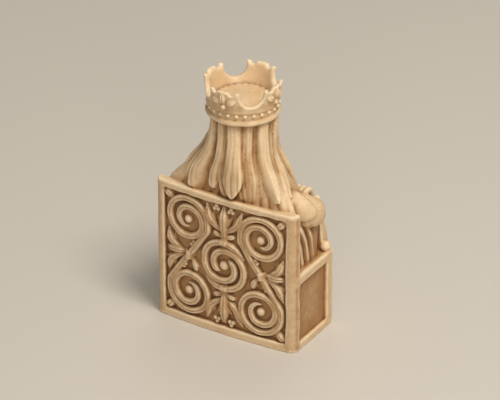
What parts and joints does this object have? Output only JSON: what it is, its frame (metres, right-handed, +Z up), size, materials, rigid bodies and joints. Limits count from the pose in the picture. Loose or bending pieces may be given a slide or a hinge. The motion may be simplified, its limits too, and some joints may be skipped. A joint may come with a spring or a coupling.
{
  "type": "medieval chess king",
  "caption": "Seated medieval king for a chess set, crowned and bearded, with a sheathed sword across the knees, on a throne whose back is carved with vine scrolls.",
  "frame": {"origin": "middle of the underside, at the centre of the piece's footprint", "axes": "+Z up, the figure faces -Y, its left hand is towards +X"},
  "size_m": [0.0486, 0.031, 0.081],
  "materials": {
    "antiqued_resin": "cream casting resin with the look of old ivory, satin-matt, brown wash left in the hollows, high points rubbed pale"
  },
  "bodies": {
    "root": {"seated_king": "antiqued_resin"}
  },
  "joints": []
}
